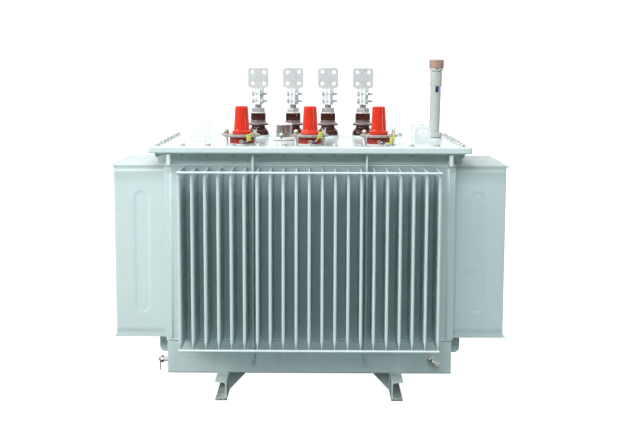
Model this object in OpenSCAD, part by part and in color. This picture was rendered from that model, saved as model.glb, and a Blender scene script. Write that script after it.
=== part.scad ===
// Oil-filled distribution transformer with a corrugated tank.
// Millimetres, +Z up, standing on z = 0. The long front side with the
// high-voltage bushings nearest faces -Y.

/* [Tank] */
// Length of the tank body along X
tank_l = 1150; // [1100:10:1200]
// Depth of the tank body along Y
tank_w = 622; // [610:2:660]
// Height of the bolted cover's top face above the floor
cover_z = 1006; // [996:1:1040]
// Thickness of the tank's floor plate
floor_t = 8; // [6:1:12]
// Height where the lower tank box meets the corrugated wall
seam_z = 214; // [212:1:216]
// Height where the corrugated wall meets the upper rim
rim_z = 931; // [926:1:936]

/* [Cover] */
// Length of the cover along X
cover_l = 1270; // [1250:2:1300]
// Depth of the cover along Y
cover_w = 770; // [756:2:800]
// Thickness of the cover plate
cover_t = 27; // [12:1:28]
// Thickness of the tank flange under the cover
flange_t = 5; // [4:1:10]
// How far the cover reaches past the flange on every side
cover_lip = 24; // [10:1:26]

/* [Cooling fins] */
// Spacing of the fins
fin_pitch = 50; // [48:1:50]
// Number of fins on each long side
fins_long = 21; // [17:2:21]
// Number of fins on each end
fins_end = 11; // [7:2:11]
// Thickness of a fin
fin_t = 10; // [8:1:14]
// Depth of the fins on the long sides
fin_d_long = 200; // [160:5:240]
// Depth of the fins on the ends
fin_d_end = 215; // [160:5:240]
// Lower end of the fins on the long sides
fin_z0 = 220; // [218:1:224]
// Upper end of the fins on the long sides
fin_z1 = 920; // [916:1:923]
// How much further the fins on the ends reach, up and down
end_fin_more = 3; // [0:1:4]
// Height over which each fin end is pinched flat
pinch_h = 18; // [10:1:30]
// Diameter of the tie rods across the fins
rod_d = 8; // [6:1:10]

/* [Stiffeners and hooks] */
// Thickness of the upright ribs
rib_t = 8; // [6:1:10]
// Depth of the upright ribs
rib_d = 48; // [30:1:50]
// Lower end of the ribs
rib_z0 = 137; // [120:1:160]
// Thickness of the lifting hooks under the flange
hook_t = 14; // [10:1:16]
// Width of the flat strips on the tank corners
strip_w = 24; // [16:1:26]

/* [Base] */
// Height of the base channels
chan_h = 80; // [70:1:100]
// Flange width of the base channels
chan_w = 46; // [40:1:50]
// Wall thickness of the base channels
chan_t = 6; // [5:0.5:8]
// Length of the base channels
chan_l = 860; // [840:2:900]
// Distance between the inner faces of the two channels
chan_gap = 654; // [640:2:700]
// Flange thickness of the base channels at the toe
chan_toe = 5; // [4:0.5:8]
// Diameter of the fixing holes in the channels
fix_d = 14; // [12:1:18]
// Spacing of the fixing holes along Y
fix_y = 760; // [740:10:780]

/* [Cover fittings] */
// Spacing of the high-voltage bushings
hv_pitch = 275; // [260:5:290]
// Position of the high-voltage bushings along Y
hv_y = -235; // [-250:1:-200]
// Spacing of the low-voltage bushings
lv_pitch = 153; // [140:1:160]
// Position of the low-voltage bushings along Y
lv_y = 225; // [180:1:235]
// Distance between the holes of a terminal pad
pad_hole = 50; // [40:1:52]
// Diameter of the holes of a terminal pad
pad_hole_d = 17; // [12:1:18]
// Position of the cover lugs along X
lug_x = 462; // [440:2:480]
// Position of the cover lugs along Y
lug_y = 130; // [120:5:160]
// Diameter of the hole in a cover lug
lug_hole_d = 40; // [30:1:42]
// Position of the oil gauge along X
gauge_x = 529; // [500:1:540]
// Position of the oil gauge along Y
gauge_y = 60; // [0:5:80]

/* [Hidden] */
$fn = 64;
tx = tank_l / 2;
ty = tank_w / 2;
cover_b = cover_z - cover_t;
flange_b = cover_b - flange_t;
floor_b = chan_h;
paint = [0.80, 0.85, 0.84];
paint_dark = [0.70, 0.75, 0.74];
steel = [0.72, 0.72, 0.70];

// ---- shared shapes -------------------------------------------------------

// A block centred in X and Y between two heights
module block(l, w, z0, z1) {
    translate([-l / 2, -w / 2, z0]) cube([l, w, z1 - z0]);
}

// A round rod between two heights
module post(x, y, z0, z1, d) {
    translate([x, y, z0]) cylinder(h = z1 - z0, d = d);
}

// One fin in the plane x = 0, reaching from y = 0 to y = -depth
module fin(depth, z0, z1) {
    tip = fin_t * 0.15;
    half = fin_t / 2;
    rotate([90, 0, 0]) linear_extrude(depth)
        polygon([[-tip, z0], [tip, z0], [half, z0 + pinch_h], [half, z1 - pinch_h],
                 [tip, z1], [-tip, z1], [-half, z1 - pinch_h], [-half, z0 + pinch_h]]);
}

// A row of fins on the side that faces -Y
module fin_row(count, depth, wall_y, more = 0) {
    for (i = [0 : count - 1])
        translate([(i - (count - 1) / 2) * fin_pitch, -wall_y, 0]) fin(depth, fin_z0 - more, fin_z1 + more);
}

// One upright rib in the plane x = 0 on a wall at y = 0, facing -Y
module rib() {
    r = 22;
    translate([rib_t / 2, 0, 0]) rotate([0, -90, 0]) linear_extrude(rib_t)
        difference() {
            translate([rib_z0, -rib_d]) square([flange_b - rib_z0, rib_d]);
            translate([rib_z0, -rib_d]) difference() {
                translate([-1, -1]) square([r + 1, r + 1]);
                translate([r, r]) circle(r);
            }
        }
}

// One lifting hook in the plane x = 0 on a wall at y = 0, facing -Y:
// a plate with a throat that opens downwards beside the wall
module hook() {
    z0 = 930;
    translate([hook_t / 2, 0, 0]) rotate([0, -90, 0]) linear_extrude(hook_t)
        difference() {
            translate([z0, -62]) square([flange_b - z0, 62]);
            translate([z0 - 1, -36]) square([14, 22]);
            translate([z0 + 13, -25]) circle(11);
            translate([z0 - 1, -15]) square([7, 16]);
        }
}

// A base channel on the -X side, open to -X
module channel() {
    x1 = -chan_gap / 2;
    root = chan_toe + 4;
    difference() {
        translate([0, chan_l / 2, 0]) rotate([90, 0, 0]) linear_extrude(chan_l)
            polygon([[x1, 0], [x1, chan_h], [x1 - chan_w, chan_h], [x1 - chan_w, chan_h - chan_toe],
                     [x1 - chan_t - 5, chan_h - root], [x1 - chan_t, chan_h - root - 5],
                     [x1 - chan_t, root + 5], [x1 - chan_t - 5, root],
                     [x1 - chan_w, chan_toe], [x1 - chan_w, 0]]);
        for (s = [-1, 1])
            translate([-358, s * fix_y / 2, -1]) cylinder(h = chan_h + 2, d = fix_d);
    }
}

// A cover lug: an upright plate with rounded top corners and a round hole
module lug(sx, sy) {
    w = 63; h = 66; t = 12; r = 14;
    color(paint)
    translate([sx * lug_x, sy * lug_y + t / 2, cover_z]) rotate([90, 0, 0]) linear_extrude(t)
        difference() {
            union() {
                translate([-w / 2, 0]) square([w, h - r]);
                translate([-w / 2 + r, 0]) square([w - 2 * r, h]);
                for (s = [-1, 1]) translate([s * (w / 2 - r), h - r]) circle(r);
            }
            translate([0, 38]) circle(d = lug_hole_d);
        }
}

// ---- tank ----------------------------------------------------------------

// Floor plate, let into the underside of the lower box
module tank_floor() { color(paint_dark) block(tank_l - 24, tank_w - 24, floor_b, floor_b + floor_t); }
module tank_base() {
    color(paint) difference() {
        block(tank_l, tank_w, floor_b, seam_z);
        block(tank_l - 24, tank_w - 24, floor_b - 1, floor_b + floor_t);
    }
}
module tank_wall() { color(paint) block(tank_l, tank_w, seam_z, rim_z); }
module tank_rim() { color(paint) block(tank_l - 4, tank_w - 4, rim_z, cover_b); }

module tank_flange() {
    color(paint) difference() {
        block(cover_l - 2 * cover_lip, cover_w - 2 * cover_lip, flange_b, cover_b);
        block(tank_l - 4, tank_w - 4, flange_b - 1, cover_b + 1);
    }
}

module cover() { color(paint) block(cover_l, cover_w, cover_b, cover_z); }

// ---- fins and rods -------------------------------------------------------

module front_fins() { color(paint) fin_row(fins_long, fin_d_long, ty); }
module back_fins() { color(paint) rotate([0, 0, 180]) fin_row(fins_long, fin_d_long, ty); }
module left_fins() { color(paint) rotate([0, 0, -90]) fin_row(fins_end, fin_d_end, tx, end_fin_more); }
module right_fins() { color(paint) rotate([0, 0, 90]) fin_row(fins_end, fin_d_end, tx, end_fin_more); }

module rod_pair(count, reach, more = 0) {
    l = (count - 1) * fin_pitch + 12;
    for (z = [fin_z0 - more + 3, fin_z1 + more - 3])
        translate([-l / 2, -reach - rod_d / 2, z]) rotate([0, 90, 0]) cylinder(h = l, d = rod_d);
}
module long_side_rods() {
    color(paint) for (a = [0, 180]) rotate([0, 0, a]) rod_pair(fins_long, ty + fin_d_long);
}
module end_rods() {
    color(paint) for (a = [90, -90]) rotate([0, 0, a]) rod_pair(fins_end, tx + fin_d_end, end_fin_more);
}

// ---- stiffeners, strips and hooks ----------------------------------------

module long_side_ribs() {
    color(paint) for (a = [0, 180], x = [-4.5 * fin_pitch, 4.5 * fin_pitch])
        rotate([0, 0, a]) translate([x, -ty, 0]) rib();
}
module end_ribs() {
    color(paint) for (a = [90, -90], x = [-3.5 * fin_pitch, 3.5 * fin_pitch])
        rotate([0, 0, a]) translate([x, -tx, 0]) rib();
}
// Angle strips round the upright corners
module corner_strips() {
    color(paint) for (mx = [0, 1], my = [0, 1]) mirror([mx, 0, 0]) mirror([0, my, 0])
        translate([0, 0, fin_z0 + 1]) linear_extrude(696)
            polygon([[tx - strip_w + 4, ty], [tx, ty], [tx, ty - 20], [tx + 4, ty - 20],
                     [tx + 4, ty + 4], [tx - strip_w + 4, ty + 4]]);
}
module tank_hooks() {
    color(paint) for (a = [0, 180], x = [-555, 555])
        rotate([0, 0, a]) translate([x, -ty, 0]) hook();
}

// ---- base ----------------------------------------------------------------

module left_channel() { color(paint_dark) channel(); }
module right_channel() { color(paint_dark) mirror([1, 0, 0]) channel(); }

module gussets() {
    x1 = chan_gap / 2;
    color(paint_dark) for (m = [0, 1], y = [-300, 300])
        mirror([m, 0, 0]) translate([0, y + 4, 0]) rotate([90, 0, 0]) linear_extrude(8)
            polygon([[x1, 9], [x1, chan_h], [x1 - 66, chan_h], [x1 - 66, chan_h - 3], [x1 - 2, 9]]);
}

// ---- cover lugs ----------------------------------------------------------

module cover_lug_front_left() { lug(-1, -1); }
module cover_lug_front_right() { lug(1, -1); }
module cover_lug_back_left() { lug(-1, 1); }
module cover_lug_back_right() { lug(1, 1); }

// ---- high-voltage bushings -----------------------------------------------

module hv_at(k) { translate([k * hv_pitch, hv_y, cover_z]) children(); }

// Moulded resin bodies that pass through the cover
module hv_bases() {
    color([0.52, 0.20, 0.17]) for (k = [-1, 0, 1]) hv_at(k)
        rotate_extrude() polygon([[0, 0], [48.5, 0], [48.5, 25], [46.5, 28], [0, 28]]);
}

// Studs beside each body that hold its flange down
module hv_clamp_studs() {
    color(steel) for (k = [-1, 0, 1]) hv_at(k)
        for (s = [-1, 1]) post(s * 57, 0, 0, 28, 11);
    // upper ends of the studs, clear of the flange bore
    color(steel) for (k = [-1, 0, 1]) hv_at(k)
        for (s = [-1, 1]) post(s * 57, 0, 38, 56, 10);
}

// Metal flange rings
module hv_flanges() {
    color([0.80, 0.80, 0.78]) for (k = [-1, 0, 1]) hv_at(k)
        rotate_extrude() polygon([[0, 28], [72, 28], [74, 30], [74, 36], [72, 38], [0, 38]]);
}

// Dust cap on one bushing
module hv_cap(k) {
    color([0.90, 0.22, 0.12]) hv_at(k)
        rotate_extrude() polygon([[0, 38], [38, 38], [38.5, 42], [37, 51], [35, 53], [31.5, 55],
                                  [31, 60], [26, 144], [25, 149], [22, 151.5], [17, 152.5], [0, 152.5]]);
}
module hv_cap_1() { hv_cap(-1); }
module hv_cap_2() { hv_cap(0); }
module hv_cap_3() { hv_cap(1); }

// Route of each earth lead from the front of a resin body, round the rim of
// the flange, to the right-hand stud above it
lead_d = 8;
lead_routes = [
    [[4, -52.3, 13], [14, -57, 12], [23, -64, 13], [28, -73, 19], [30, -79, 28],
     [34, -78, 38], [40, -67, 46], [47, -46, 48], [54, -24, 46], [57, -5.4, 42]],
    [[4, -52.3, 13], [14, -57, 13], [22, -65, 17], [28, -74, 25], [31, -80, 33],
     [36, -79, 43], [42, -67, 50], [48, -46, 50], [54, -24, 47], [57, -5.4, 42]],
    [[4, -52.3, 13], [14, -57, 11], [26, -61, 10], [40, -64, 10], [51, -65, 14],
     [55, -66, 24], [55, -66, 35], [56, -56, 45], [57, -36, 48], [57, -5.4, 42]]];

// A round tube swept along points
function unit(v) = v / norm(v);
function tangent(p, i) = unit(p[min(i + 1, len(p) - 1)] - p[max(i - 1, 0)]);
function ring(p, i, r, n) =
    let (t = tangent(p, i), u = unit(cross(t, [0.3, 0.2, 1])), v = cross(t, u))
    [for (k = [0 : n - 1]) p[i] + r * (cos(360 * k / n) * u + sin(360 * k / n) * v)];
module tube(p, d, n = 10) {
    m = len(p);
    points = [for (i = [0 : m - 1]) each ring(p, i, d / 2, n)];
    sides = [for (i = [0 : m - 2], k = [0 : n - 1]) each let (j = (k + 1) % n) [
        [i * n + k, (i + 1) * n + k, (i + 1) * n + j],
        [i * n + k, (i + 1) * n + j, i * n + j]]];
    caps = [for (k = [1 : n - 2]) each [
        [0, k, k + 1], [(m - 1) * n, (m - 1) * n + k + 1, (m - 1) * n + k]]];
    polyhedron(points, concat(sides, caps));
}

// Short earth leads that bond each flange to its body's screen
module hv_earth_leads() {
    color([0.75, 0.80, 0.15]) for (k = [-1, 0, 1]) hv_at(k) tube(lead_routes[k + 1], lead_d);
}

// ---- low-voltage bushings ------------------------------------------------

module lv_at(k) { translate([(k - 2.5) * lv_pitch - 2, lv_y, cover_z]) children(); }

// Raised bosses on the cover that the porcelains stand on
module lv_bosses() {
    color(paint) for (k = [1 : 4]) lv_at(k) cylinder(h = 8, d = 96);
}

// One glazed porcelain with two skirts
module lv_porcelain(k) {
    color([0.30, 0.16, 0.13]) lv_at(k)
        rotate_extrude() polygon([[0, 8], [44, 8], [45, 10], [45, 17], [43, 23], [38, 31], [34.5, 36],
                                  [33, 40], [29.5, 48], [29.5, 51], [43.5, 53], [45, 55.5], [43.5, 58.5],
                                  [35.5, 63], [31.5, 74], [32.5, 75.5], [32.5, 104], [31.5, 105], [0, 105]]);
}
module lv_porcelain_1() { lv_porcelain(1); }
module lv_porcelain_2() { lv_porcelain(2); }
module lv_porcelain_3() { lv_porcelain(3); }
module lv_porcelain_4() { lv_porcelain(4); }

// Threaded studs, each with its washer and hexagon nut
module lv_studs() {
    color(steel) for (k = [1 : 4]) lv_at(k) {
        post(0, 0, 105, 108, 58);
        translate([0, 0, 108]) cylinder(h = 19, d = 57, $fn = 6);
        post(0, 0, 127, 198, 30);
    }
}

// One terminal: a split clamp with two ears around the stud, under an upright pad with four holes
module lv_terminal(k) {
    color([0.78, 0.79, 0.79]) lv_at(k) difference() {
        union() {
            translate([0, 0, 142]) cylinder(h = 68, d = 48);
            translate([-16, -42, 142]) cube([26, 30, 68]);
            translate([-24, -7, 209]) cube([48, 14, 8]);
            translate([0, 7, 216]) rotate([90, 0, 0]) linear_extrude(14) pad_outline();
        }
        translate([0, 0, 141]) cylinder(h = 57, d = 30);
        for (x = [-1, 1], z = [-1, 1])
            translate([x * pad_hole / 2, 8, 259 + z * pad_hole / 2])
                rotate([90, 0, 0]) cylinder(h = 16, d = pad_hole_d);
        translate([-9, -43, 141]) cube([12, 35, 70]);
    }
}
module pad_outline() {
    w = 87; h = 85; r = 10;
    translate([-w / 2 + r, 0]) square([w - 2 * r, h]);
    translate([-w / 2, r]) square([w, h - 2 * r]);
    for (x = [-1, 1], z = [r, h - r]) translate([x * (w / 2 - r), z]) circle(r);
}
module lv_terminal_1() { lv_terminal(1); }
module lv_terminal_2() { lv_terminal(2); }
module lv_terminal_3() { lv_terminal(3); }
module lv_terminal_4() { lv_terminal(4); }

// ---- fittings ------------------------------------------------------------

module pressure_relief_valve() {
    color([0.75, 0.76, 0.76]) translate([-111, 0, cover_z])
        rotate_extrude() polygon([[0, 0], [40, 0], [41, 2], [41, 12], [39, 14], [34, 14],
                                  [34, 66], [32.5, 70], [29, 72], [0, 72]]);
}

module oil_gauge_pipe() {
    color(paint) translate([gauge_x, gauge_y, cover_z])
        rotate_extrude() polygon([[0, 0], [31, 0], [31, 31], [29, 33], [22, 33], [22, 224], [24.5, 228],
                                  [24.5, 291], [28, 292], [28, 304], [0, 304]]);
}
module oil_gauge_cap() {
    color([0.72, 0.56, 0.48]) translate([gauge_x, gauge_y, cover_z])
        rotate_extrude() polygon([[0, 304], [29.5, 304], [30.5, 306], [30.5, 332], [27, 337], [20, 339], [0, 339]]);
}

// Drain valve low on the front, turned down to the right
module drain_valve() {
    color([0.55, 0.52, 0.48]) translate([494, -ty, 141]) {
        rotate([90, 0, 0]) cylinder(h = 30, d = 22);
        translate([0, -34, 0]) rotate([0, 121, -24]) {
            translate([0, 0, -17]) cylinder(h = 11, d = 27, $fn = 6);
            translate([0, 0, -7]) cylinder(h = 8, d = 17);
            translate([0, 0, 0]) cylinder(h = 18, d = 24);
            translate([0, 0, 17]) cylinder(h = 16, d = 27);
        }
    }
}

// Oil sampling valve low on the left end
module sampling_valve() {
    color(steel) translate([-tx, -225, 116]) {
        rotate([0, -90, 0]) cylinder(h = 30, d = 21);
        translate([-30, 0, 0]) rotate([0, -90, 0]) cylinder(h = 12, d = 28, $fn = 6);
        translate([-42, 0, 0]) rotate([0, -90, 0]) cylinder(h = 6, d = 15);
        translate([-39, 0, -46]) cylinder(h = 36, d = 5);
    }
}

tank_floor();
tank_base();
tank_wall();
tank_rim();
tank_flange();
cover();
front_fins();
back_fins();
left_fins();
right_fins();
long_side_rods();
end_rods();
long_side_ribs();
end_ribs();
corner_strips();
tank_hooks();
left_channel();
right_channel();
gussets();
cover_lug_front_left();
cover_lug_front_right();
cover_lug_back_left();
cover_lug_back_right();
hv_bases();
hv_clamp_studs();
hv_flanges();
hv_earth_leads();
hv_cap_1();
hv_cap_2();
hv_cap_3();
lv_bosses();
lv_porcelain_1();
lv_porcelain_2();
lv_porcelain_3();
lv_porcelain_4();
lv_studs();
lv_terminal_1();
lv_terminal_2();
lv_terminal_3();
lv_terminal_4();
pressure_relief_valve();
oil_gauge_pipe();
oil_gauge_cap();
drain_valve();
sampling_valve();
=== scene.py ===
"""The looks of an oil-filled distribution transformer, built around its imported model.

Shapes are written in millimetres in the model's own frame (origin on the floor under
the middle of the tank, +Z up, front towards -Y) and turned into metres by Build.
"""

import math
import random

import bpy
from mathutils import Matrix, Vector, geometry


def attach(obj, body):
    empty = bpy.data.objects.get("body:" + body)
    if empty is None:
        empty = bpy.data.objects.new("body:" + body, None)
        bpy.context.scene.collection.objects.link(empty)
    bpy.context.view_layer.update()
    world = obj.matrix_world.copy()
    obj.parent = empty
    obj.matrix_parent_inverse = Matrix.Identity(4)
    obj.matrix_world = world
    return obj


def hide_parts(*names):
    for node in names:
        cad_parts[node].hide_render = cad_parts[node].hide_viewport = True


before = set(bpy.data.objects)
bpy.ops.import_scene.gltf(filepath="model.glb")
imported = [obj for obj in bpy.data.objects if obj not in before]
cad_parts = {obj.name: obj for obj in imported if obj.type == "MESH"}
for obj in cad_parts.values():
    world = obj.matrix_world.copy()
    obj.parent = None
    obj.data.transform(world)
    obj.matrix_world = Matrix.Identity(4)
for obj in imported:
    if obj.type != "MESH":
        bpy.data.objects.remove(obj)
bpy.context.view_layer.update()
scene = bpy.context.scene
rng = random.Random(11)

# ---------------------------------------------------------------- sizes, mm
TANK_X, TANK_Y = 575.0, 311.0
SEAM_Z, LEDGE_Z = 214.0, 931.0
COVER_Z = 1006.0
FLANGE_Z = 974.0
LONG_FIN_Z, END_FIN_Z = (220.0, 920.0), (217.0, 923.0)
HV_X, HV_Y = (-275.0, 0.0, 275.0), -235.0
LV_X, LV_Y = (-231.5, -78.5, 74.5, 227.5), 225.0
GAUGE_X, GAUGE_Y = 529.0, 60.0


# ---------------------------------------------------------------- camera
def make_camera():
    pitch, yaw, roll = (math.radians(a) for a in (7.6398, -0.2151, 0.1891))
    fwd = Vector(
        (math.sin(yaw) * math.cos(pitch), math.cos(yaw) * math.cos(pitch), -math.sin(pitch))
    )
    right = Vector((math.cos(yaw), -math.sin(yaw), 0.0))
    up = right.cross(fwd)
    r2 = right * math.cos(roll) + up * math.sin(roll)
    u2 = up * math.cos(roll) - right * math.sin(roll)
    data = bpy.data.cameras.new("camera")
    data.sensor_fit = "HORIZONTAL"
    data.sensor_width = 36.0
    data.lens = 1188.5 / 630 * 36
    data.clip_start, data.clip_end = 0.05, 200.0
    cam = bpy.data.objects.new("camera", data)
    scene.collection.objects.link(cam)
    m = Matrix((r2, u2, -fwd)).transposed().to_4x4()
    m.translation = (0.03881, -5.01424, 1.34763)
    cam.matrix_world = m
    scene.camera = cam


make_camera()


# ---------------------------------------------------------------- mesh tools
def signed_area(loop):
    return 0.5 * sum(
        loop[i - 1][0] * loop[i][1] - loop[i][0] * loop[i - 1][1] for i in range(len(loop))
    )


def rounded(points, seg=5, closed=True):
    """An outline or profile from corners (x, y, radius)."""
    out, n = [], len(points)
    for i, (x, y, r) in enumerate(points):
        if r <= 0 or (not closed and i in (0, n - 1)):
            out.append((x, y))
            continue
        p = Vector((x, y))
        a = (Vector(points[i - 1][:2]) - p).normalized()
        b = (Vector(points[(i + 1) % n][:2]) - p).normalized()
        half = a.angle(b) / 2
        t = r / math.tan(half)
        c = p + (a + b).normalized() * (r / math.sin(half))
        s, e = p + a * t - c, p + b * t - c
        a0 = math.atan2(s.y, s.x)
        d = (math.atan2(e.y, e.x) - a0 + math.pi) % (2 * math.pi) - math.pi
        out += [
            (c.x + r * math.cos(a0 + d * k / seg), c.y + r * math.sin(a0 + d * k / seg))
            for k in range(seg + 1)
        ]
    return out


def rect(x0, y0, x1, y1, r, seg=5):
    return rounded([(x0, y0, r), (x1, y0, r), (x1, y1, r), (x0, y1, r)], seg)


def circle(cx, cy, r, n=32, turn=0.0):
    return [
        (
            cx + r * math.cos(2 * math.pi * k / n + turn),
            cy + r * math.sin(2 * math.pi * k / n + turn),
        )
        for k in range(n)
    ]


def hexagon(across, r=0.6, turn=0.0, seg=2):
    big = across / math.sqrt(3)
    return rounded(
        [
            (big * math.cos(turn + math.pi * k / 3), big * math.sin(turn + math.pi * k / 3), r)
            for k in range(6)
        ],
        seg,
    )


def inset(loop, d):
    """The loop moved to the left of its own direction by d."""
    out, n = [], len(loop)
    for i in range(n):
        a, p, b = Vector(loop[i - 1]), Vector(loop[i]), Vector(loop[(i + 1) % n])
        e1, e2 = (p - a).normalized(), (b - p).normalized()
        n1, n2 = Vector((-e1.y, e1.x)), Vector((-e2.y, e2.x))
        m = (n1 + n2) / max(0.3, 1 + n1.dot(n2))
        out.append(tuple(p + m * d))
    return out


def plate(loops, z0, z1, bevel=1.0, seg=2):
    """A plate with rounded edges from an outline and its holes. Gives (points, faces)."""
    loops = [
        list(lp) if (signed_area(lp) > 0) == (k == 0) else list(reversed(lp))
        for k, lp in enumerate(loops)
    ]
    steps = []
    for k in range(seg + 1):
        a = math.pi / 2 * k / seg
        steps.append((bevel * (1 - math.sin(a)), z0 + bevel * (1 - math.cos(a))))
    steps += [(d, z0 + z1 - z) for d, z in reversed(steps)]
    pts, faces, starts = [], [], []
    for d, z in steps:
        row = []
        for lp in loops:
            row.append(len(pts))
            pts += [(x, y, z) for x, y in (inset(lp, d) if d > 1e-9 else lp)]
        starts.append(row)
    for lo, hi in zip(starts, starts[1:]):
        for lp, a, b in zip(loops, lo, hi):
            n = len(lp)
            faces += [(a + i, a + (i + 1) % n, b + (i + 1) % n, b + i) for i in range(n)]
    flat = [[Vector((x, y, 0)) for x, y in inset(lp, bevel)] for lp in loops]
    index = [s + i for lp, s in zip(loops, starts[0]) for i in range(len(lp))]
    shift = starts[-1][0] - starts[0][0]
    joined = [p for lp in flat for p in lp]
    for tri in geometry.tessellate_polygon(flat):
        a, b, c = (joined[i] for i in tri)
        if (b - a).cross(c - a).z < 0:
            tri = tuple(reversed(tri))
        low = [index[i] for i in tri]
        faces.append(tuple(reversed(low)))
        faces.append(tuple(i + shift for i in low))
    return pts, faces


def lathe(profile, n=48):
    """A turned piece from (radius, height) points, from the bottom up."""
    pts, faces, rings = [], [], []
    for r, z in profile:
        if r < 1e-6:
            rings.append([len(pts)] * n)
            pts.append((0.0, 0.0, z))
        else:
            rings.append([len(pts) + k for k in range(n)])
            pts += [
                (r * math.cos(2 * math.pi * k / n), r * math.sin(2 * math.pi * k / n), z)
                for k in range(n)
            ]
    for a, b in zip(rings, rings[1:]):
        for k in range(n):
            j = (k + 1) % n
            face = []
            for i in (a[k], a[j], b[j], b[k]):
                if i not in face:
                    face.append(i)
            if len(face) > 2:
                faces.append(tuple(face))
    return pts, faces


def sweep(path, radius, n=10, closed=False):
    """A round tube along points. radius is one number or one for each point."""
    pts, faces = [], []
    path = [Vector(p) for p in path]
    m = len(path)
    radii = radius if hasattr(radius, "__len__") else [radius] * m
    tangents = []
    for i in range(m):
        a = path[i - 1] if (closed or i > 0) else path[0]
        b = path[(i + 1) % m] if (closed or i < m - 1) else path[-1]
        tangents.append((b - a).normalized())
    u = tangents[0].orthogonal().normalized()
    for i in range(m):
        t = tangents[i]
        u = (u - t * u.dot(t)).normalized()
        v = t.cross(u)
        for k in range(n):
            a = 2 * math.pi * k / n
            pts.append(tuple(path[i] + (u * math.cos(a) + v * math.sin(a)) * radii[i]))
    last = m if closed else m - 1
    for i in range(last):
        a, b = i * n, ((i + 1) % m) * n
        faces += [(a + k, a + (k + 1) % n, b + (k + 1) % n, b + k) for k in range(n)]
    if not closed:
        faces.append(tuple(reversed(range(n))))
        faces.append(tuple((m - 1) * n + k for k in range(n)))
    return pts, faces


def resample(path, step):
    """Points about one step apart along a line of straight stretches."""
    out = []
    for a, b in zip(path, path[1:]):
        a, b = Vector(a), Vector(b)
        n = max(1, round((b - a).length / step))
        out += [a.lerp(b, k / n) for k in range(n)]
    return out + [Vector(path[-1])]


def bead(path, r, pitch=5.0, n=6):
    """A weld bead: a low tube whose size and line ripple as a hand weld's do."""
    line = resample(path, pitch / 2)
    radii = []
    for i, p in enumerate(line):
        wave = 1.0 if i % 2 else 0.78
        radii.append(r * (wave + rng.uniform(-0.08, 0.08)))
        line[i] = p + Vector([rng.uniform(-0.12, 0.12) * r for _ in range(3)])
    return sweep(line, radii, n)


def smooth_path(points, per=6):
    """A Catmull-Rom line through points."""
    p = [Vector(q) for q in points]
    p = [2 * p[0] - p[1]] + p + [2 * p[-1] - p[-2]]
    out = []
    for i in range(1, len(p) - 2):
        for k in range(per):
            t = k / per
            out.append(
                0.5
                * (
                    2 * p[i]
                    + (p[i + 1] - p[i - 1]) * t
                    + (2 * p[i - 1] - 5 * p[i] + 4 * p[i + 1] - p[i + 2]) * t * t
                    + (3 * p[i] - p[i - 1] - 3 * p[i + 1] + p[i + 2]) * t * t * t
                )
            )
    return out + [p[-2]]


def shell_patch(r0, r1, a0, a1, z0, z1, n=8):
    """A curved tile between two radii, angles in degrees from -Y towards +X."""
    pts, faces = [], []
    for k in range(n + 1):
        a = math.radians(a0 + (a1 - a0) * k / n)
        for r, z in ((r0, z0), (r1, z0), (r1, z1), (r0, z1)):
            pts.append((r * math.sin(a), -r * math.cos(a), z))
    for k in range(n):
        a, b = 4 * k, 4 * k + 4
        faces += [(a + i, b + i, b + (i + 1) % 4, a + (i + 1) % 4) for i in range(4)]
    faces.append((0, 1, 2, 3))
    e = 4 * n
    faces.append((e + 3, e + 2, e + 1, e))
    return pts, faces


def move(x=0.0, y=0.0, z=0.0):
    return Matrix.Translation((x, y, z))


def turn(deg, axis):
    return Matrix.Rotation(math.radians(deg), 4, axis)


UPRIGHT = turn(90, "X")  # a plate drawn in x, y stands up: y becomes z, its thickness runs to -Y


class Build:
    """Collects faces in millimetres and makes one object of them in metres."""

    def __init__(self):
        self.v, self.f, self.m = [], [], []

    def add(self, made, at=None, mat=0):
        pts, faces = made
        k = len(self.v)
        if at is not None:
            pts = [tuple(at @ Vector(p)) for p in pts]
            if at.determinant() < 0:
                faces = [tuple(reversed(f)) for f in faces]
        self.v += pts
        self.f += [tuple(i + k for i in f) for f in faces]
        self.m += [mat] * len(faces)
        return self

    def object(self, name, mats, slot=None, replaces=(), sharp=34, weighted=False):
        mesh = bpy.data.meshes.new(name)
        mesh.from_pydata([(x / 1000, y / 1000, z / 1000) for x, y, z in self.v], [], self.f)
        for m in mats:
            mesh.materials.append(m)
        mesh.polygons.foreach_set("material_index", self.m)
        mesh.polygons.foreach_set("use_smooth", [True] * len(self.f))
        mesh.update()
        mesh.set_sharp_from_angle(angle=math.radians(sharp))
        o = bpy.data.objects.new(name, mesh)
        scene.collection.objects.link(o)
        if weighted:
            w = o.modifiers.new("weighted", "WEIGHTED_NORMAL")
            w.keep_sharp = True
        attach(o, "root")
        if replaces:
            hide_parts(*replaces)
        return o


# ---------------------------------------------------------------- materials
def srgb(r, g, b):
    return tuple(
        (c / 255 / 12.92 if c / 255 <= 0.04045 else ((c / 255 + 0.055) / 1.055) ** 2.4)
        for c in (r, g, b)
    ) + (1.0,)


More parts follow.
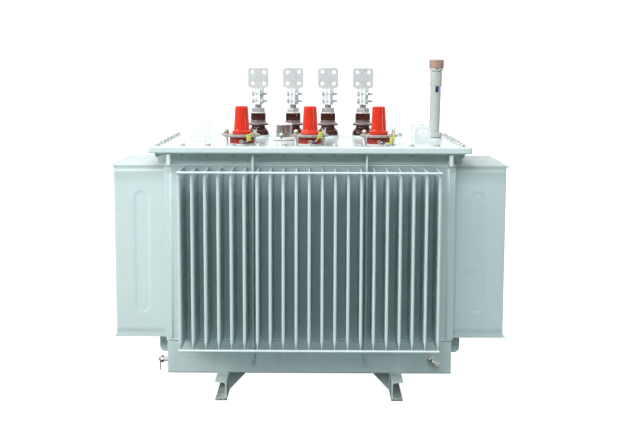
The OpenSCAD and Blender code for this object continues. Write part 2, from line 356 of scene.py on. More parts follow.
class Finish:
    """One procedural material on a Principled shader, in object coordinates in metres."""

    def __init__(self, name, **sockets):
        self.mat = bpy.data.materials.new(name)
        self.mat.use_nodes = True
        self.nt = self.mat.node_tree
        self.nt.nodes.clear()
        self.out = self.nt.nodes.new("ShaderNodeOutputMaterial")
        self.bsdf = self.nt.nodes.new("ShaderNodeBsdfPrincipled")
        self.nt.links.new(self.bsdf.outputs[0], self.out.inputs[0])
        self.coord = self.nt.nodes.new("ShaderNodeTexCoord")
        for k, v in sockets.items():
            self.bsdf.inputs[k.replace("_", " ")].default_value = v
        self.normal = None

    def node(self, kind, **inputs):
        n = self.nt.nodes.new(kind)
        for k, v in inputs.items():
            n.inputs[k.replace("_", " ")].default_value = v
        return n

    def link(self, a, b):
        self.nt.links.new(a, b)

    def noise(self, scale, detail=3.0, rough=0.55, stretch=None, offset=(0, 0, 0), distortion=0.0):
        source = self.coord.outputs["Object"]
        if stretch or any(offset):
            m = self.node("ShaderNodeMapping")
            m.inputs["Location"].default_value = offset
            m.inputs["Scale"].default_value = stretch or (1, 1, 1)
            self.link(source, m.inputs["Vector"])
            source = m.outputs[0]
        n = self.node(
            "ShaderNodeTexNoise", Scale=scale, Detail=detail, Roughness=rough, Distortion=distortion
        )
        self.link(source, n.inputs["Vector"])
        return n.outputs["Fac"]

    def ramp(self, value, stops):
        n = self.nt.nodes.new("ShaderNodeValToRGB")
        e = n.color_ramp.elements
        e[0].position, e[0].color = stops[0]
        e[1].position, e[1].color = stops[-1]
        for pos, col in stops[1:-1]:
            x = e.new(pos)
            x.color = col
        self.link(value, n.inputs["Fac"])
        return n.outputs["Color"]

    def span(self, value, lo, hi, a=0.3, b=0.7):
        n = self.node("ShaderNodeMapRange")
        n.inputs["From Min"].default_value = a
        n.inputs["From Max"].default_value = b
        n.inputs["To Min"].default_value = lo
        n.inputs["To Max"].default_value = hi
        self.link(value, n.inputs["Value"])
        return n.outputs[0]

    def mix(self, fac, a, b, mode="MIX"):
        n = self.nt.nodes.new("ShaderNodeMix")
        n.data_type = "RGBA"
        n.blend_type = mode
        for value, socket in ((fac, n.inputs[0]), (a, n.inputs[6]), (b, n.inputs[7])):
            if isinstance(value, (float, int, tuple)):
                socket.default_value = value
            else:
                self.link(value, socket)
        return n.outputs[2]

    def colour(self, value):
        self.link(value, self.bsdf.inputs["Base Color"])

    def rough(self, value):
        self.link(value, self.bsdf.inputs["Roughness"])

    def bump(self, value, distance, strength=1.0):
        n = self.node("ShaderNodeBump", Strength=strength, Distance=distance)
        self.link(value, n.inputs["Height"])
        if self.normal is not None:
            self.link(self.normal, n.inputs["Normal"])
        self.normal = n.outputs[0]
        self.link(self.normal, self.bsdf.inputs["Normal"])

    def height(self):
        n = self.nt.nodes.new("ShaderNodeSeparateXYZ")
        self.link(self.coord.outputs["Object"], n.inputs[0])
        return n.outputs["Z"]


def shade(col, k):
    return tuple(min(1.0, c * k) for c in col[:3]) + (1.0,)


def paint(name, base, rough=(0.26, 0.36), wave=0.0009, dust=0.5):
    """Sprayed enamel on sheet steel: uneven film, orange peel, slight waves in the sheet."""
    f = Finish(name, IOR=1.5)
    large = f.noise(2.6, 3, 0.5)
    fine = f.noise(70, 5, 0.65)
    col = f.ramp(
        large, [(0.3, shade(base, 0.955)), (0.52, base), (0.75, shade(base, 1.03))]
    )
    col = f.mix(f.span(fine, 0.0, 0.3 * dust, 0.45, 0.8), col, shade(base, 0.86))
    f.colour(col)
    f.rough(f.span(f.noise(11, 4, 0.6), *rough))
    f.bump(f.noise(5.5, 2, 0.4, offset=(3.1, 1.7, 0.4)), wave, 0.8)
    f.bump(f.noise(520, 2, 0.5), 0.00006, 0.9)
    return f


PAINT_TONE = srgb(206, 220, 218)
tank_paint = paint("tank_paint", PAINT_TONE, wave=0.0006).mat
cover_paint = paint("cover_paint", srgb(214, 226, 225), (0.13, 0.22), 0.0005).mat


def foot_paint():
    """The same enamel on hot-rolled channels: coarser skin, chipped and soiled near the floor, and darker still
    along the very bottom.
    """
    f = paint("skid_paint", srgb(192, 205, 203), (0.34, 0.46), 0.0002, 0.3)
    base = f.bsdf.inputs["Base Color"].links[0].from_socket
    z = f.height()
    low = f.span(z, 1.0, 0.0, 0.001, 0.011)
    chips = f.noise(95, 6, 0.7)
    wet = f.nt.nodes.new("ShaderNodeMath")
    wet.operation = "MULTIPLY"
    f.link(low, wet.inputs[0])
    f.link(f.span(chips, 0.0, 1.25, 0.40, 0.56), wet.inputs[1])
    soiled = f.mix(wet.outputs[0], base, srgb(96, 84, 74))
    f.colour(f.mix(f.span(z, 0.85, 0.0, 0.0012, 0.0045), soiled, srgb(72, 68, 64)))
    f.bump(f.noise(160, 4, 0.6), 0.00006, 0.6)
    return f.mat


skid_paint = foot_paint()


def shade_graded_paint(name, base, low, z_low, z_high, share, rough=(0.3, 0.42), wave=0.0003, dust=0.4):
    """Enamel painted darker towards one end of a height range: painted shade."""
    f = paint(name, base, rough, wave, dust)
    unshaded = f.bsdf.inputs["Base Color"].links[0].from_socket
    f.colour(f.mix(f.span(f.height(), share[0], share[1], z_low, z_high), unshaded, low))
    return f.mat


# painted shade: the skirt darker along its lower edge
skirt_edge_shaded_paint = shade_graded_paint("skirt_edge_shaded_paint", PAINT_TONE, srgb(96, 104, 102), 0.0812, 0.0865, (0.72, 0.0))
# painted shade: the gussets darker overall and darkest up under the tank
gusset_shaded_paint = shade_graded_paint("gusset_shaded_paint", srgb(188, 200, 198), srgb(84, 94, 92), 0.03, 0.078, (0.15, 0.9))
# painted shade: the end fins darker towards their tops, under the cover
fin_paint = shade_graded_paint(
    "fin_paint", PAINT_TONE, srgb(150, 162, 160), 0.84, 0.915, (0.0, 0.42), (0.26, 0.36), 0.00006, 0.5
)


def gap_shade_paint(name, wave, axis, near, far):
    """The same enamel with painted shade: darker towards the ledge, and darker and bluer deep between the fins."""
    f = paint(name, PAINT_TONE, (0.26, 0.36), wave, 0.5)
    unshaded = f.bsdf.inputs["Base Color"].links[0].from_socket
    high = f.mix(f.span(f.height(), 0.0, 0.42, 0.84, 0.915), unshaded, srgb(150, 162, 160))
    place = f.nt.nodes.new("ShaderNodeSeparateXYZ")
    f.link(f.coord.outputs["Object"], place.inputs[0])
    off = f.nt.nodes.new("ShaderNodeMath")
    off.operation = "ABSOLUTE"
    f.link(place.outputs[axis], off.inputs[0])
    f.colour(f.mix(f.span(off.outputs[0], 0.24, 0.0, near, far), high, srgb(122, 142, 154)))
    return f.mat


# painted shade on the long fins and on the wall between them
long_fin_gap_shade = gap_shade_paint("long_fin_gap_shade", 0.00006, "Y", 0.34, 0.48)
wall_gap_shade = gap_shade_paint("wall_gap_shade", 0.0006, "X", 0.515, 0.535)
# a lighter copy of the tank enamel for the lugs, hooks and fin seams: painted light
lit_enamel = paint("lit_enamel", srgb(226, 233, 232), (0.2, 0.3), 0.0004).mat


def red_cap():
    f = Finish("cap_plastic", IOR=1.44, Subsurface_Weight=0.04)
    f.bsdf.inputs["Subsurface Radius"].default_value = (0.006, 0.002, 0.001)
    tone = srgb(218, 56, 37)
    f.colour(
        f.ramp(f.noise(26, 3, 0.5), [(0.3, shade(tone, 0.97)), (0.7, shade(tone, 1.03))])
    )
    f.rough(f.span(f.noise(60, 4, 0.6), 0.06, 0.1))
    f.bump(f.noise(900, 2, 0.5), 0.00002, 0.6)
    f.bump(f.noise(1.0, 1, 0.4, stretch=(160, 160, 6)), 0.00006, 0.4)
    return f.mat


def resin():
    f = Finish("bushing_resin", IOR=1.4)
    tone = srgb(164, 49, 41)
    f.colour(
        f.ramp(
            f.noise(90, 5, 0.65),
            [(0.28, shade(tone, 0.8)), (0.55, tone), (0.78, shade(tone, 1.2))],
        )
    )
    f.rough(f.span(f.noise(45, 4, 0.6), 0.34, 0.5))
    f.bump(f.noise(420, 3, 0.6), 0.0001, 0.8)
    return f.mat


def zinc(name, tone, rough=(0.22, 0.4), grain=180.0, metal=1.0):
    """Zinc or tin plate: bright, a little cloudy."""
    f = Finish(name, Metallic=metal)
    cloud = f.noise(grain, 5, 0.65)
    f.colour(
        f.ramp(cloud, [(0.28, shade(tone, 0.78)), (0.55, tone), (0.8, shade(tone, 1.08))])
    )
    f.rough(f.span(f.noise(grain * 1.7, 4, 0.6), *rough))
    f.bump(f.noise(grain * 5, 3, 0.6), 0.00006, 0.6)
    return f.mat


def cast(name, tone, rough=(0.36, 0.55), metal=1.0):
    """Sand-cast aluminium: fine grit and a dull skin."""
    f = Finish(name, Metallic=metal)
    f.colour(
        f.ramp(
            f.noise(75, 6, 0.7),
            [(0.25, shade(tone, 0.82)), (0.5, tone), (0.8, shade(tone, 1.06))],
        )
    )
    f.rough(f.span(f.noise(130, 4, 0.6), *rough))
    f.bump(f.noise(650, 4, 0.65), 0.00016, 0.8)
    return f.mat


def porcelain():
    """Brown salt glaze over porcelain: deep, wet, slightly uneven."""
    f = Finish("brown_porcelain", IOR=1.44, Coat_Weight=0.1, Coat_Roughness=0.06)
    tone = srgb(64, 29, 24)
    glaze = f.ramp(
        f.noise(38, 4, 0.6, stretch=(1, 1, 2.2)),
        [(0.25, shade(tone, 0.65)), (0.55, tone), (0.8, shade(tone, 1.6))],
    )
    # pale film on what faces up, strongest on the shoulder and above: painted reflection of the bright sky, with a
    # little settled dust
    face = f.nt.nodes.new("ShaderNodeNewGeometry")
    up = f.nt.nodes.new("ShaderNodeSeparateXYZ")
    f.link(face.outputs["Normal"], up.inputs[0])
    film = f.nt.nodes.new("ShaderNodeMath")
    film.operation = "MULTIPLY"
    f.link(f.span(up.outputs["Z"], 0.0, 0.62, 0.12, 0.6), film.inputs[0])
    f.link(f.span(f.height(), 0.04, 1.0, 1.056, 1.064), film.inputs[1])
    f.colour(f.mix(film.outputs[0], glaze, srgb(168, 154, 157)))
    f.rough(f.span(f.noise(30, 3, 0.5), 0.05, 0.1))
    f.bump(f.noise(48, 2, 0.5), 0.0004, 0.5)
    return f.mat


def terminal():
    """Tinned flat terminal stock: matt, finely brushed."""
    f = Finish("terminal_aluminium", Metallic=0.6)
    tone = srgb(213, 214, 213)
    f.colour(
        f.ramp(
            f.noise(55, 5, 0.65), [(0.25, shade(tone, 0.9)), (0.5, tone), (0.8, shade(tone, 1.04))]
        )
    )
    f.rough(f.span(f.noise(90, 4, 0.6), 0.38, 0.55))
    f.bump(f.noise(1.0, 3, 0.6, stretch=(900, 900, 60)), 0.00008, 0.6)
    f.bump(f.noise(300, 4, 0.65), 0.00012, 0.5)
    return f.mat


def chrome():
    f = Finish("bright_metal", Metallic=0.86)
    tone = srgb(204, 203, 201)
    f.colour(f.ramp(f.noise(40, 4, 0.6), [(0.3, shade(tone, 0.9)), (0.7, shade(tone, 1.04))]))
    f.rough(f.span(f.noise(120, 4, 0.6), 0.1, 0.16))
    f.bump(f.noise(1.0, 2, 0.5, stretch=(70, 70, 12)), 0.0008, 0.3)
    return f.mat


def tan_cap():
    f = Finish("tan_plastic", IOR=1.48)
    tone = srgb(176, 142, 127)
    f.colour(f.ramp(f.noise(70, 5, 0.6), [(0.28, shade(tone, 0.9)), (0.7, shade(tone, 1.07))]))
    f.rough(f.span(f.noise(120, 3, 0.5), 0.36, 0.48))
    f.bump(f.noise(700, 3, 0.6), 0.00008, 0.8)
    return f.mat


def brass(name, tone, rough=(0.28, 0.45), metal=0.9):
    f = Finish(name, Metallic=metal)
    f.colour(
        f.ramp(
            f.noise(140, 5, 0.7),
            [(0.25, shade(tone, 0.7)), (0.52, tone), (0.8, shade(tone, 1.25))],
        )
    )
    f.rough(f.span(f.noise(170, 4, 0.6), *rough))
    f.bump(f.noise(500, 3, 0.6), 0.0001, 0.6)
    return f.mat


def plastic(name, tone, rough=(0.32, 0.44), grain=300.0):
    f = Finish(name, IOR=1.48)
    f.colour(f.ramp(f.noise(120, 4, 0.6), [(0.3, shade(tone, 0.9)), (0.7, shade(tone, 1.08))]))
    f.rough(f.span(f.noise(200, 3, 0.5), *rough))
    f.bump(f.noise(grain, 3, 0.6), 0.00008, 0.6)
    return f.mat


cap_plastic = red_cap()
bushing_resin = resin()
plated_steel = zinc("plated_steel", srgb(216, 218, 217))
dull_steel = zinc("dull_steel", srgb(138, 139, 136), (0.5, 0.65))
dome_plate = zinc("dome_plate", srgb(228, 225, 214), (0.36, 0.5), 120.0, 0.4)
valve_base = cast("valve_base", srgb(230, 228, 221), (0.3, 0.44), 0.25)
ring_aluminium = cast("ring_aluminium", srgb(172, 170, 164), (0.34, 0.5), 0.5)
brown_porcelain = porcelain()
terminal_aluminium = terminal()
bright_metal = chrome()
tan_plastic = tan_cap()
valve_brass = brass("valve_brass", srgb(196, 190, 184), (0.3, 0.46), 0.5)
spout_brass = brass("spout_brass", srgb(182, 156, 146), (0.34, 0.48), 0.5)
nut_brass = brass("nut_brass", srgb(168, 158, 128), (0.38, 0.5), 0.5)
tinned_copper = zinc("tinned_copper", srgb(230, 222, 202), (0.3, 0.45), 180.0, 0.4)
clamp_aluminium = zinc("clamp_aluminium", srgb(246, 247, 247), (0.36, 0.5), 90.0, 0.05)
lead_yellow = plastic("lead_yellow", srgb(230, 222, 112))
lead_green = plastic("lead_green", srgb(152, 188, 84))
sleeve_blue = plastic("sleeve_blue", srgb(66, 98, 158))
gauge_enamel = paint("gauge_enamel", srgb(190, 195, 187), (0.22, 0.3), 0.0002).mat
nut_enamel = paint("nut_enamel", srgb(170, 180, 178), (0.34, 0.46), 0.0001).mat
window_navy = plastic("window_navy", srgb(40, 42, 78), (0.08, 0.14))
window_blue = plastic("window_blue", srgb(104, 116, 172), (0.08, 0.14))
window_white = plastic("window_white", srgb(240, 242, 246), (0.1, 0.18))
# dark stand-in for holes and a notch: painted shade
painted_hole_shade = plastic("painted_hole_shade", srgb(44, 44, 44), (0.55, 0.7))
joint_grey = plastic("joint_grey", srgb(122, 132, 134), (0.5, 0.62))
bolt_plate = zinc("bolt_plate", srgb(206, 210, 210), (0.26, 0.4), 160.0, 0.5)
clamp_bolt = zinc("clamp_bolt", srgb(182, 188, 190), (0.26, 0.4), 160.0, 0.5)
big_nut = zinc("big_nut", srgb(186, 188, 186), (0.36, 0.5), 120.0, 0.6)
stud_plate = zinc("stud_plate", srgb(206, 208, 206), (0.34, 0.5), 140.0, 0.35)
stud_copper = zinc("stud_copper", srgb(196, 190, 176), (0.34, 0.5), 160.0, 0.5)
cock_nut = brass("cock_nut", srgb(150, 142, 136), (0.2, 0.32), 0.85)


# ---------------------------------------------------------------- cooling fins
def smoothstep(a, b, x):
    t = max(0.0, min(1.0, (x - a) / (b - a)))
    return t * t * (3 - 2 * t)


def fin(depth, centre, z0, z1):
    """One pressed fin standing on the wall: across is x, out from the wall is y.

    The sheet flares out of the wall, runs flat, turns round a blunt tip, and is pinched
    to a welded seam at the top and the bottom. Each face has a long pressed oblong.
    """
    half, flare, seam = 6.0, 6.0, 1.7
    cols = []
    for k in range(5):
        a = math.pi / 2 * k / 4
        cols.append((flare - flare * math.cos(a), flare * (1 - math.sin(a)), 1.0))
    near = (-38, -35, -32.5, -30, -28, -26, -23.5, -21, -17, -9, 0, 9, 17, 21, 23.5, 26, 28, 30, 32.5, 35, 38)
    for d in (18, 40, *(centre + e for e in near), centre + 58, depth - 22, depth - half):
        cols.append((d, 0.0, 1.0))
    for k in range(1, 5):
        a = math.pi / 2 * k / 4
        cols.append((depth - half + half * math.sin(a), 0.0, math.cos(a)))
    low, high, r = 322.0, 816.0, 28.0
    rows = [z0 + d for d in (0, 1.2, 7, 14, 18, 22, 26, 30, 34, 39, 46)]
    rows += [low + d for d in (-20, -8, -5, -2.5, 0, 2.5, 5, 8, 12, 17, 22, 29, 40)]
    rows += [450, 570, 690]
    rows += [high - d for d in (40, 29, 22, 17, 12, 8, 5, 2.5, 0, -2.5, -5, -8, -20)]
    rows += [z1 - d for d in (38, 31, 28, 25, 22, 19, 16, 12, 6, 1.2, 0)]
    side = len(cols)
    pts, faces = [], []
    for z in rows:
        grow = smoothstep(14, 40, z - z0) * smoothstep(12, 30, z1 - z)
        h = seam + (half - seam) * grow
        if z in (rows[0], rows[-1]):
            h = seam - 0.9
        line = []
        for d, extra, share in cols:
            x = h + extra
            if extra == 0 and share == 1:
                q = math.hypot(
                    d - centre, max(low + r - z, 0.0, z - (high - r))
                ) - r
                x -= 2.8 * (1 - smoothstep(-7.0, 7.0, q))
            line.append((x * share, d))
        pts += [(-x, d, z) for x, d in line[:-1]]
        pts.append((0.0, line[-1][1], z))
        pts += [(x, d, z) for x, d in reversed(line[:-1])]
    width = 2 * side - 1
    for i in range(len(rows) - 1):
        a, b = i * width, (i + 1) * width
        faces += [(a + j + 1, a + j, b + j, b + j + 1) for j in range(width - 1)]
    for base, flip in ((0, False), ((len(rows) - 1) * width, True)):
        for j in range(side - 1):
            f = [base + j, base + j + 1, base + width - 2 - j, base + width - 1 - j]
            if f[1] == f[2]:
                f = f[:2] + f[3:]
            faces.append(tuple(reversed(f)) if flip else tuple(f))
    return pts, faces


def make_fins():
    long_fin, end_fin = fin(200.0, 97.0, *LONG_FIN_Z), fin(215.0, 104.0, *END_FIN_Z)
    xs = [-500 + 50 * k for k in range(21)]
    ys = [-250 + 50 * k for k in range(11)]
    for name, made, angle, places in (
        ("front_fins", long_fin, 180, [(x, -TANK_Y) for x in xs]),
        ("back_fins", long_fin, 0, [(x, TANK_Y) for x in xs]),
        ("left_fins", end_fin, 90, [(-TANK_X, y) for y in ys]),
        ("right_fins", end_fin, -90, [(TANK_X, y) for y in ys]),
    ):
        b = Build()
        tip = max(p[1] for p in made[0])
        ends = min(p[2] for p in made[0]) + 1.0, max(p[2] for p in made[0]) - 1.0
        for x, y in places:
            at = move(x, y) @ turn(angle, "Z")
            b.add(made, at)
            # the seams take the lighter enamel: painted highlight along the fins' top and bottom edges
            for z in ends:  # welded seam
                b.add(sweep([(0, 3, z), (0, tip / 2, z), (0, tip - 3, z)], 2.2, 8), at, 1)
        b.object(name + "_pressed", [long_fin_gap_shade if made is long_fin else fin_paint, lit_enamel], "tank_paint", [name], sharp=50)


make_fins()


# ---------------------------------------------------------------- tie rods
def blob(r, squash=0.7):
    prof = [
        (r * math.sin(math.pi * k / 5), -r * squash * math.cos(math.pi * k / 5)) for k in range(6)
    ]
    prof[0], prof[-1] = (0.0, prof[0][1]), (0.0, prof[-1][1])
    return lathe(prof, 8)


def rod(length, r=4.0):
    """A round bar along X with softly sawn ends."""
    h = length / 2
    prof = [(0, -h), (r - 0.7, -h), (r, -h + 0.8)]
    prof += [(r, -h + length * k / 12) for k in range(1, 12)]
    prof += [(r, h - 0.8), (r - 0.7, h), (0, h)]
    pts, faces = lathe(prof, 14)
    return [(z, x, y) for x, y, z in pts], faces


def make_rods():
    b = Build()
    for s in (-1, 1):
        for z, lift, r in ((222.0, 3.4, 5.4), (916.0, -3.4, 4.6)):
            b.add(rod(1012.0, r), move(0, s * 515.0, z))
            for k in range(21):
                for e in (-3.4, 3.4):
                    b.add(
                        blob(3.0 + rng.uniform(-0.5, 0.5)),
                        move(-500 + 50 * k + e + rng.uniform(-0.6, 0.6), s * 511.6, z + lift * 0.55),
                    )
    b.object("long_tie_rods", [cover_paint], "tank_paint", ["long_side_rods"])
    b = Build()
    for s in (-1, 1):
        for z, lift in ((220.0, 3.4), (920.0, -3.4)):
            b.add(rod(514.0, 4.3), move(s * 795.5, 0, z) @ turn(90, "Z"))
            for k in range(11):
                for e in (-3.4, 3.4):
                    b.add(
                        blob(3.0 + rng.uniform(-0.5, 0.5)),
                        move(s * 790.6, -250 + 50 * k + e + rng.uniform(-0.6, 0.6), z + lift * 0.55),
                    )
    b.object("end_tie_rods", [cover_paint], "tank_paint", ["end_rods"])


make_rods()


# ---------------------------------------------------------------- cover and lugs
def make_cover():
    b = Build()
    b.add(plate([rect(-635, -385, 635, 385, 14, 6)], 979.0, COVER_Z, 6.5, 5))
    b.object("cover_plate", [cover_paint], "cover_paint", ["cover"], weighted=True)
    outline = rounded(
        [(-31.5, 0, 0), (31.5, 0, 0), (31.5, 66, 9), (-31.5, 66, 9)], 6
    )
    hole = circle(0, 39.5, 18.6, 40)
    for name, sx, sy in (
        ("cover_lug_front_left", -1, -1),
        ("cover_lug_front_right", 1, -1),
        ("cover_lug_back_left", -1, 1),
        ("cover_lug_back_right", 1, 1),
    ):
        b = Build()
        at = move(sx * 462.0, sy * 130.0, COVER_Z)
        b.add(plate([outline, hole], -6, 6, 1.4, 3), at @ UPRIGHT)
        for e in (-6.4, 6.4):
            b.add(bead([(-29, e, 0.8), (29, e, 0.8)], 6.6, 7.0, 12), at, 1)
        # the lugs take the lighter enamel: painted light
        b.object(name + "_plate", [lit_enamel, cover_paint], "tank_paint", [name], weighted=True)


make_cover()


# ---------------------------------------------------------------- bolts
def hex_head(across, h, spin=0.0):
    pts, faces = plate([hexagon(across, 0.5, spin)], 0.0, h, 0.9, 2)
    return pts, faces


def washer(r, h, inner=None):
    if inner is None:
        return lathe(rounded([(0, 0, 0), (r, 0, 0.5), (r, h, 0.5), (0, h, 0)], 2, False), 24)
    return plate([circle(0, 0, r, 24), circle(0, 0, inner, 24)], 0, h, 0.4, 1)


def thread(r, z0, z1, pitch=1.75, n=16):
    """A threaded end: close grooves and a chamfered tip."""
    prof, z = [(0, z0), (r, z0)], z0 + pitch
    while z < z1 - pitch * 1.5:
        prof += [(r * 0.9, z - pitch / 2), (r, z)]
        z += pitch
    prof += [(r, z1 - r * 0.18), (r * 0.8, z1), (0, z1)]
    return lathe(prof, n)


def bolt_places():
    out = [(-600 + 100 * k, s * 350.0) for k in range(13) for s in (-1, 1)]
    out += [(s * 600.0, -250 + 100 * k) for k in range(6) for s in (-1, 1)]
    return out


def make_cover_bolts():
    top, low = Build(), Build()
    for x, y in bolt_places():
        spin = rng.uniform(0, math.pi / 3)
        at = move(x, y, COVER_Z)
        top.add(washer(13.0, 2.4), at)
        top.add(hex_head(19.0, 7.6, spin), at @ move(z=2.3))
        top.add(lathe([(0, 9.7), (6.4, 9.7), (6.0, 10.2), (0, 10.4)], 18), at)
        at = move(x, y, FLANGE_Z) @ turn(180, "X")
        low.add(washer(8.8, 1.8), at)
        low.add(hex_head(14.4, 8.0, rng.uniform(0, math.pi / 3)), at @ move(z=1.7))
        low.add(thread(4.6, 9.5, 13.2), at)
    top.object("cover_bolt_heads", [bolt_plate], "plated_steel")
    low.object("cover_bolt_nuts", [nut_enamel], "tank_paint")


make_cover_bolts()


# ---------------------------------------------------------------- high-voltage bushings
def knurled(r, h, ribs=26, depth=0.8):
    outline = []
    for k in range(ribs):
        for e, rr in ((0.0, r), (0.3, r), (0.5, r - depth), (0.8, r - depth)):
            a = 2 * math.pi * (k + e) / ribs
            outline.append((rr * math.cos(a), rr * math.sin(a)))
    return plate([outline], 0.0, h, 0.5, 1)


def wing():
    """One wing of a wing nut, drawn upright in x, z."""
    outline = rounded(
        [(4, 0, 1), (9, 2, 3), (17, 10, 4), (19, 19, 4), (13, 21, 4), (8, 13, 5), (4, 11, 1)], 4
    )
    return plate([outline], -2.0, 2.0, 0.9, 2)


# each bushing's earth lead, from its bond screw to its clamp stud: a short blue sleeve, a
# pigtail of three and a half turns, then back over the clamp ring
def pigtail(start, centre, z0, lean, tail, r=6.8, pitch=7.2, turns=3.5, per=14):
    cx, cy = centre
    n = round(turns * per)
    coil = []
    for k in range(n + 1):
        a = math.pi + 2 * math.pi * k / per
        z = z0 + pitch * k / per
        coil.append((cx + lean * pitch * (k - n / 2) / per + r * math.cos(a), cy + r * math.sin(a), z))
    return start + coil + tail


LEADS = (
    pigtail(
        [(15, -57.5, 12), (21, -63, 12.4), (25.2, -70, 14)],
        (33.5, -83.5), 19.0, 0.05,
        [(41.5, -74, 46.6), (43, -56, 45.4), (48.5, -30, 44.4), (53, -5.4, 43)],
    ),
    pigtail(
        [(15, -57.6, 13), (20, -62.8, 15.4), (25.8, -69, 19.5), (30, -76, 25)],
        (41.0, -83.5), 30.0, 0.28,
        [(51, -75, 55), (51, -56, 50), (52.8, -30, 46), (55.5, -5.4, 43)],
    ),
    pigtail(
        [(15, -57.4, 11), (24, -60.4, 10.2), (35, -66.5, 9.6)],
        (49.0, -79.0), 11.0, 0.06,
        [(57.4, -71.5, 42.4), (58, -56, 46.4), (58.8, -30, 45.4), (59.6, -5.4, 43)],
    ),
)
SLEEVES = (
    [(12, -55.6, 12.2), (17, -59, 11.8), (22, -64, 12.0), (25, -67.6, 12.6)],
    [(11.5, -55.4, 13.0), (16, -58.6, 13.6), (20, -62.8, 15.4), (22.5, -65.6, 17.2)],
    [(13, -56.6, 11.2), (17, -58, 10.8), (21, -59.4, 10.4), (24, -60.4, 10.2)],
)


def striped_lead(path, at, radius=2.5):
    """Points and faces of a lead with its yellow and its green stripes apart."""
    line = smooth_path(path, 2)
    n = 12
    pts, faces = sweep(line, radius, n)
    pts = [tuple(at @ Vector(p)) for p in pts]
    green = [
        f for k, f in enumerate(faces) if len(f) == 4 and (k % n + k // n // 3) % n in (1, 2, 7, 8)
    ]
    keep = set(green)
    yellow = [f for f in faces if f not in keep]
    return pts, yellow, green


def cap_profile(foot):
    """A dust cap: its foot, which differs a little from cap to cap, and its tapered barrel."""
    return rounded(
        [
            (0, 42.0, 0),
            *foot,
            (31.0, 62.0, 6.0),
            (26.0, 148.6, 2.2),
            (24.8, 151.7, 1.2),
            (20.0, 152.5, 0.8),
            (18.4, 151.2, 0.8),
            (0, 150.8, 0),
        ],
        5,
        False,
    )


CAP_FEET = (
    [
        (37.6, 42.0, 0.8), (38.2, 45.8, 0.6), (37.4, 46.6, 0.3), (37.4, 47.2, 0.3), (38.5, 48.2, 0.8),
        (38.2, 52.6, 1.6), (34.6, 54.6, 1.4), (31.8, 55.2, 1.2),
    ],
    [(38.4, 42.0, 0.8), (38.4, 44.4, 1.0), (34.8, 53.4, 1.4), (31.9, 55.2, 1.4)],
    [(37.8, 42.0, 0.8), (37.8, 53.4, 1.6), (34.8, 55.0, 1.0), (31.8, 55.4, 1.0)],
)


